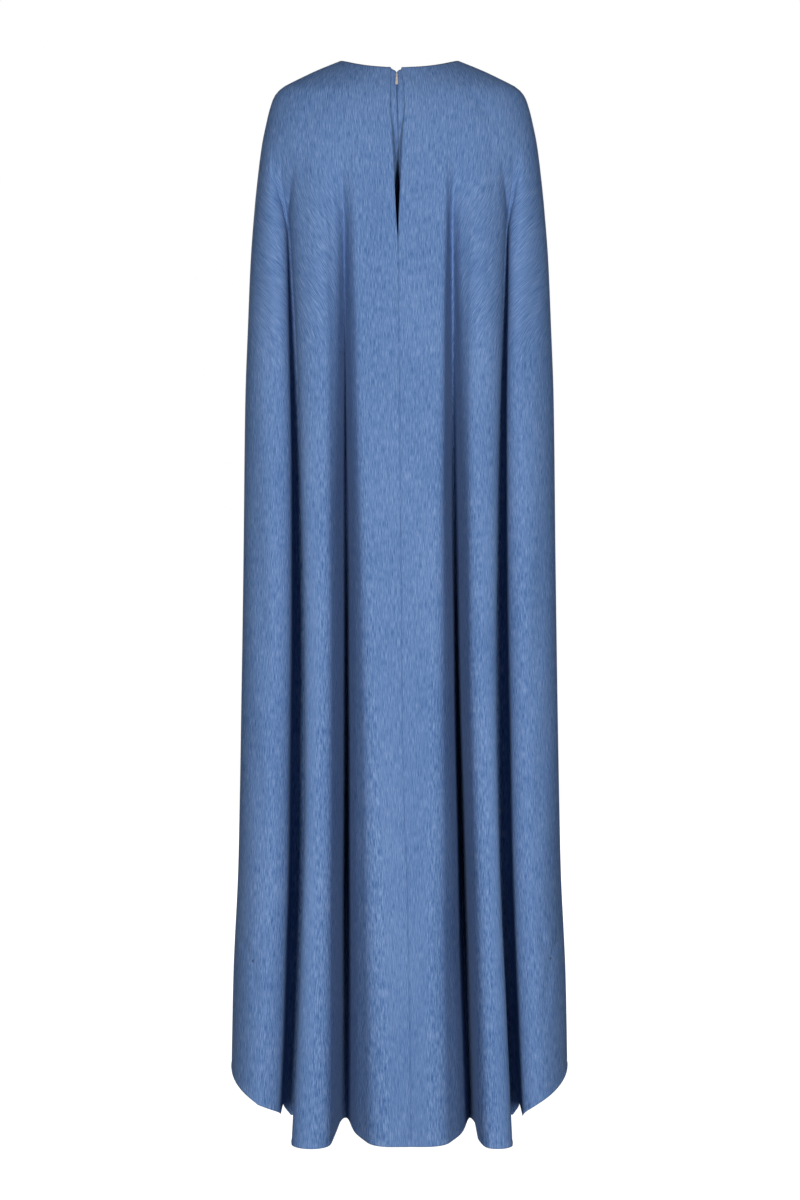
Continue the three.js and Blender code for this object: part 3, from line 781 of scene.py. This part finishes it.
def innerGrid(side, widthOf, deeper, heights, shares):
    rows = []
    for down in heights:
        edge = along(zipLine, "across", down) + side * along(zipLine, "opening", down) / 2
        row = [tuple(innerPoint(mix(edge, widthOf(down, edge), share), down, deeper)) for share in shares]
        rows.append(row[::-1] if side < 0 else row)
    return np.array(rows)


innerHeights = [0, 0.002, 0.004, 0.007] + [mix(0.011, 0.31, i / 49) for i in range(50)]
innerShares = [0, 0.008, 0.018, 0.03, 0.05, 0.08] + [mix(0.12, 1, i / 20) for i in range(21)]


def innerHalf(name, side):
    def outerEdge(down, edge):
        return side * along(innerClearance, "halfWidth", down)

    points = innerGrid(side, outerEdge, 0, innerHeights, innerShares)
    last = points.shape[1] - 1
    edge = last if side < 0 else 0
    return clothPanel(name, points, [], 0, (edge,), edge, innerCloth, hemmed=False)


innerLeft, innerRight = innerHalf("inner_left", -1), innerHalf("inner_right", 1)


def zipTape(name, side):
    heights = [mix(0.016, 0.302, i / 44) for i in range(45)]

    def outerEdge(down, edge):
        return edge + side * inner["tapeWidth"]

    points = innerGrid(side, outerEdge, inner["tapeBehind"], heights, [i / 8 for i in range(9)])
    weave = np.stack([rowArcs(points), -columnArcs(points)], axis=2)
    return gridMesh(name, points, weave, innerCloth, inner["tapeThickness"])


tapeLeft, tapeRight = zipTape("zip_tape_left", -1), zipTape("zip_tape_right", 1)


# Repeated small things along a path: a Geometry Nodes tree with named inputs
def alongPathTree(name, material):
    tree = bpy.data.node_groups.new(name, "GeometryNodeTree")
    face = tree.interface
    face.new_socket("Path", in_out="INPUT", socket_type="NodeSocketGeometry")
    for label, value in (("Spacing", 0.003), ("Length", 0.002), ("Width", 0.0004), ("Height", 0.0003)):
        face.new_socket(label, in_out="INPUT", socket_type="NodeSocketFloat").default_value = value
    face.new_socket("Pieces", in_out="OUTPUT", socket_type="NodeSocketGeometry")
    nodes, links = tree.nodes, tree.links
    given, result = nodes.new("NodeGroupInput"), nodes.new("NodeGroupOutput")
    curve = nodes.new("GeometryNodeMeshToCurve")
    links.new(given.outputs["Path"], curve.inputs["Mesh"])
    evenly = nodes.new("GeometryNodeResampleCurve")
    evenly.mode = "LENGTH"
    links.new(curve.outputs["Curve"], evenly.inputs["Curve"])
    links.new(given.outputs["Spacing"], evenly.inputs["Length"])
    tangent = nodes.new("GeometryNodeInputTangent")
    turn = nodes.new("FunctionNodeAlignRotationToVector")
    turn.axis = "X"
    links.new(tangent.outputs["Tangent"], turn.inputs["Vector"])
    bead = nodes.new("GeometryNodeMeshUVSphere")
    bead.inputs["Segments"].default_value = 8
    bead.inputs["Rings"].default_value = 5
    bead.inputs["Radius"].default_value = 0.5
    size = nodes.new("ShaderNodeCombineXYZ")
    for axis, label in (("X", "Length"), ("Y", "Width"), ("Z", "Height")):
        links.new(given.outputs[label], size.inputs[axis])
    shape = nodes.new("GeometryNodeTransform")
    links.new(bead.outputs["Mesh"], shape.inputs["Geometry"])
    links.new(size.outputs["Vector"], shape.inputs["Scale"])
    smoothShade = nodes.new("GeometryNodeSetShadeSmooth")
    links.new(shape.outputs["Geometry"], smoothShade.inputs["Geometry"])
    place = nodes.new("GeometryNodeInstanceOnPoints")
    links.new(evenly.outputs["Curve"], place.inputs["Points"])
    links.new(smoothShade.outputs["Geometry"], place.inputs["Instance"])
    links.new(turn.outputs["Rotation"], place.inputs["Rotation"])
    realize = nodes.new("GeometryNodeRealizeInstances")
    links.new(place.outputs["Instances"], realize.inputs["Geometry"])
    finish = nodes.new("GeometryNodeSetMaterial")
    finish.inputs["Material"].default_value = material
    links.new(realize.outputs["Geometry"], finish.inputs["Geometry"])
    links.new(finish.outputs["Geometry"], result.inputs["Pieces"])
    return tree


def alongPaths(name, paths, tree, sizes):
    source = bpy.data.meshes.new(name + " path")
    points, edges = [], []
    for path in paths:
        edges += [(len(points) + i, len(points) + i + 1) for i in range(len(path) - 1)]
        points += [tuple(p) for p in path]
    source.from_pydata(points, edges, [])
    carrier = bpy.data.objects.new(name + " path", source)
    bpy.context.scene.collection.objects.link(carrier)
    modifier = carrier.modifiers.new("along path", "NODES")
    modifier.node_group = tree
    for item in tree.interface.items_tree:
        if item.in_out == "INPUT" and item.name in sizes:
            modifier[item.identifier] = sizes[item.name]
    bpy.context.view_layer.update()
    evaluated = carrier.evaluated_get(bpy.context.evaluated_depsgraph_get())
    mesh = bpy.data.meshes.new_from_object(evaluated)
    mesh.name = name
    piece = bpy.data.objects.new(name, mesh)
    bpy.context.scene.collection.objects.link(piece)
    carrier.modifiers.clear()
    bpy.data.objects.remove(carrier)
    return piece


stitchTree = alongPathTree("stitches along a path", thread)
coilTree = alongPathTree("teeth along a path", zipCoil)

# Zip coil: its teeth lie across the path, behind the two halves
coil = {"Spacing": 0.0011, "Length": 0.0007, "Width": 0.0042, "Height": 0.0013}
coilPath = [innerPoint(along(zipLine, "across", down), down, inner["coilBehind"])
            for down in [mix(0.022, 0.3, i / 80) for i in range(81)]]
zipTeeth = alongPaths("zip_teeth", [coilPath], coilTree, coil)

# Hem stitches, on the outside, just above the rolled edge
hemStitch = {"Spacing": 0.0042, "Length": 0.0016, "Width": 0.0003, "Height": 0.0003}
hemStitchDown = 1.5915


def hemPath(panel, down):
    rows = sectionHeights()
    r = min(range(len(rows)), key=lambda k: abs(rows[k] - down))
    mesh = panel.data
    columns = leftPoints.shape[1] if panel is not frontPanel else frontPoints.shape[1]
    found = []
    for c in range(1, columns - 1):
        vertex = mesh.vertices[r * columns + c]
        found.append(vertex.co + vertex.normal * (gown["thickness"] / 2))
    return found


stitchesLeft = alongPaths("hem_stitches_left", [hemPath(backLeft, hemStitchDown)], stitchTree, hemStitch)
stitchesRight = alongPaths("hem_stitches_right", [hemPath(backRight, hemStitchDown)], stitchTree, hemStitch)
stitchesFront = alongPaths("hem_stitches_front", [hemPath(frontPanel, hemStitchDown)], stitchTree, hemStitch)

# Thread tacks where the hand openings end: a few turns of thread side by side
tack = {"turns": 5, "length": 0.0034, "pitch": 0.00055, "radius": 0.0003, "lift": 0.00035, "swell": 0.0005}


def tackPiece(name, panel, across, down):
    mesh = panel.data
    target = Vector((across, -1, -down))
    vertex = min(mesh.vertices, key=lambda v: (v.co.x - target.x) ** 2 + (v.co.z - target.z) ** 2)
    normal = vertex.normal.normalized()
    upward = Vector((0, 0, 1))
    upward = (upward - normal * upward.dot(normal)).normalized()
    sideways = upward.cross(normal)
    paths = []
    for turn in range(tack["turns"]):
        shift = sideways * (turn - (tack["turns"] - 1) / 2) * tack["pitch"]
        loop = []
        for k in range(13):
            t = k / 12
            lift = tack["lift"] + tack["swell"] * math.sin(math.pi * t)
            loop.append(vertex.co + shift + upward * tack["length"] * (t - 0.5) + normal * lift)
        paths.append(loop)
    return tubeMesh(name, paths, tack["radius"], thread)


def tubeMesh(name, paths, radius, material):
    curve = bpy.data.curves.new(name, "CURVE")
    curve.dimensions = "3D"
    curve.bevel_depth = radius
    curve.bevel_resolution = 3
    curve.use_fill_caps = True
    for path in paths:
        spline = curve.splines.new("POLY")
        spline.points.add(len(path) - 1)
        for point, place in zip(spline.points, path):
            point.co = (*place, 1)
    carrier = bpy.data.objects.new(name + " path", curve)
    bpy.context.scene.collection.objects.link(carrier)
    evaluated = carrier.evaluated_get(bpy.context.evaluated_depsgraph_get())
    mesh = bpy.data.meshes.new_from_object(evaluated)
    mesh.name = name
    mesh.materials.clear()
    mesh.materials.append(material)
    mesh.polygons.foreach_set("use_smooth", [True] * len(mesh.polygons))
    bpy.data.objects.remove(carrier)
    piece = bpy.data.objects.new(name, mesh)
    bpy.context.scene.collection.objects.link(piece)
    return piece


tackLeft = tackPiece("tack_left", backLeft, -0.215, 1.346)
tackRight = tackPiece("tack_right", backRight, 0.222, 1.346)
print("sewing made")


# Slider and pull tab: the solids' own forms with their edges rounded
def roundedCopy(node, name, width):
    source = bpy.data.objects[node]
    form = bmesh.new()
    form.from_mesh(source.data)
    bmesh.ops.remove_doubles(form, verts=form.verts, dist=1e-6)
    bmesh.ops.dissolve_limit(form, angle_limit=math.radians(1), verts=form.verts, edges=form.edges)
    mesh = bpy.data.meshes.new(name)
    form.to_mesh(mesh)
    form.free()
    mesh.materials.clear()
    mesh.materials.append(silver)
    mesh.polygons.foreach_set("use_smooth", [True] * len(mesh.polygons))
    piece = bpy.data.objects.new(name, mesh)
    bpy.context.scene.collection.objects.link(piece)
    bevel = piece.modifiers.new("rounded edges", "BEVEL")
    bevel.width = width
    bevel.segments = 3
    bevel.limit_method = "ANGLE"
    bevel.angle_limit = math.radians(40)
    bevel.harden_normals = True
    return piece


slider = roundedCopy("zip_slider", "slider", 0.00016)
pull = roundedCopy("zip_pull", "pull_tab", 0.00018)
print("zip made")

# What each piece rides on and which solid it stands for; the cloth it is cut from is listed alongside, but
# nothing reads it
for piece, node, slotName in (
    (backLeft, "back_left", "gown_cloth"), (backRight, "back_right", "gown_cloth"),
    (frontPanel, "front", "gown_cloth"),
    (innerLeft, "inner_back_left", "inner_cloth"), (innerRight, "inner_back_right", "inner_cloth"),
    (slider, "zip_slider", "zip_metal"), (pull, "zip_pull", "zip_metal"),
):
    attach(piece, "pull" if piece is pull else "gown")
    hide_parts(node)
for piece, slotName in (
    (tapeLeft, "inner_cloth"), (tapeRight, "inner_cloth"), (zipTeeth, "inner_cloth"),
    (stitchesLeft, "gown_cloth"), (stitchesRight, "gown_cloth"), (stitchesFront, "gown_cloth"),
    (tackLeft, "gown_cloth"), (tackRight, "gown_cloth"),
):
    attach(piece, "gown")


# Wide floor whose painted glow grows with distance, so that it pales into the studio's walls
stage = {"floor": -1.665, "reach": 14.0, "steps": 28}


def makeFloor():
    count = stage["steps"]
    places = [mix(-stage["reach"], stage["reach"], i / count) for i in range(count + 1)]
    points = [(x, y, stage["floor"]) for y in places for x in places]
    wide = count + 1
    faces = [(r * wide + c, r * wide + c + 1, (r + 1) * wide + c + 1, (r + 1) * wide + c)
             for r in range(count) for c in range(count)]
    mesh = bpy.data.meshes.new("floor")
    mesh.from_pydata(points, [], faces)
    mesh.materials.append(floorMaterial())
    sheet = bpy.data.objects.new("floor", mesh)
    bpy.context.scene.collection.objects.link(sheet)
    return sheet


makeFloor()

# Soft lights, each aimed at the middle of the gown
lights = [
    {"name": "key left", "at": (-0.95, -4.3, -0.6), "wide": 0.5, "tall": 1.7, "watts": 119},
    {"name": "key right", "at": (0.95, -4.3, -0.6), "wide": 0.5, "tall": 1.7, "watts": 119},
    {"name": "far left", "at": (-1.3, 4.2, 0.4), "wide": 0.8, "tall": 2.2, "watts": 70},
    {"name": "far right", "at": (1.3, 4.2, 0.4), "wide": 0.8, "tall": 2.2, "watts": 70},
]
for light in lights:
    lamp = bpy.data.lights.new(light["name"], "AREA")
    lamp.shape = "RECTANGLE"
    lamp.size, lamp.size_y = light["wide"], light["tall"]
    lamp.energy = light["watts"]
    holder = bpy.data.objects.new(light["name"], lamp)
    holder.location = light["at"]
    holder.rotation_euler = (Vector((0, 0, -0.75)) - Vector(light["at"])).to_track_quat("-Z", "Y").to_euler()
    bpy.context.scene.collection.objects.link(holder)

# Pale studio walls that the camera sees, and that light the gown only weakly
studio = {"seen": 1.0, "lit": 0.015}
world = bpy.data.worlds.new("studio")
world.use_nodes = True
worldNodes, worldLinks = world.node_tree.nodes, world.node_tree.links
rays = worldNodes.new("ShaderNodeLightPath")
level = worldNodes.new("ShaderNodeMapRange")
level.inputs["To Min"].default_value = studio["lit"]
level.inputs["To Max"].default_value = studio["seen"]
worldLinks.new(rays.outputs["Is Camera Ray"], level.inputs["Value"])
worldNodes["Background"].inputs["Color"].default_value = (1, 1, 1, 1)
worldLinks.new(level.outputs["Result"], worldNodes["Background"].inputs["Strength"])
bpy.context.scene.world = world
bpy.context.scene.view_settings.view_transform = "Standard"

# Camera level with the middle of the gown, as the photo was taken
camera = bpy.data.cameras.new("camera")
camera.sensor_fit = "AUTO"
camera.sensor_width = 36
camera.lens = 60.93
cameraHolder = bpy.data.objects.new("camera", camera)
cameraHolder.location = (0.00075, -3.08, -0.8144)
cameraHolder.rotation_euler = (math.pi / 2, 0, 0)
bpy.context.scene.collection.objects.link(cameraHolder)
bpy.context.scene.camera = cameraHolder
print("stage, lights and camera made")
